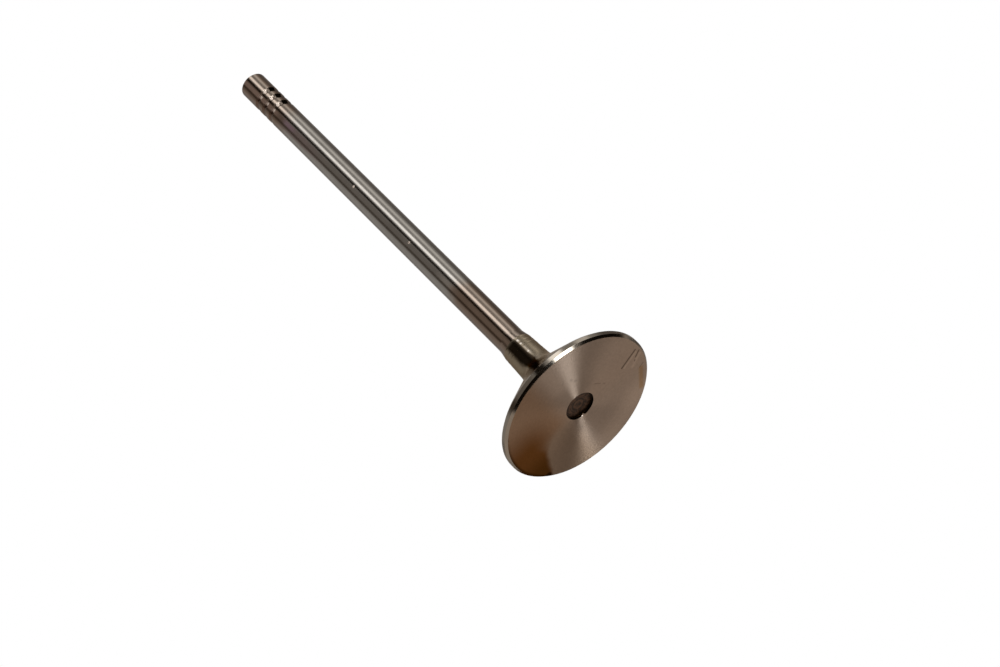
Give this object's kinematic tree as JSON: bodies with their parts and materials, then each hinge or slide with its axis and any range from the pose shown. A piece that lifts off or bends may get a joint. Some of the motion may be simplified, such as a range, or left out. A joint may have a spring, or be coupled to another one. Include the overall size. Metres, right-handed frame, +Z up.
{
  "type": "engine valve",
  "caption": "Poppet engine valve: flat round head with bevelled rim, seat face and shallow dimple, tapered neck, long ground stem and keeper grooves below a chamfered tip.",
  "frame": {"origin": "centre of the flat face of the head", "axes": "+Z runs up the stem from the head's face to the tip"},
  "size_m": [0.0456, 0.0456, 0.1605],
  "materials": {
    "valve_steel": "used valve steel: turned face, ground stem, browned neck and head"
  },
  "bodies": {
    "root": {"valve": "valve_steel"}
  },
  "joints": []
}
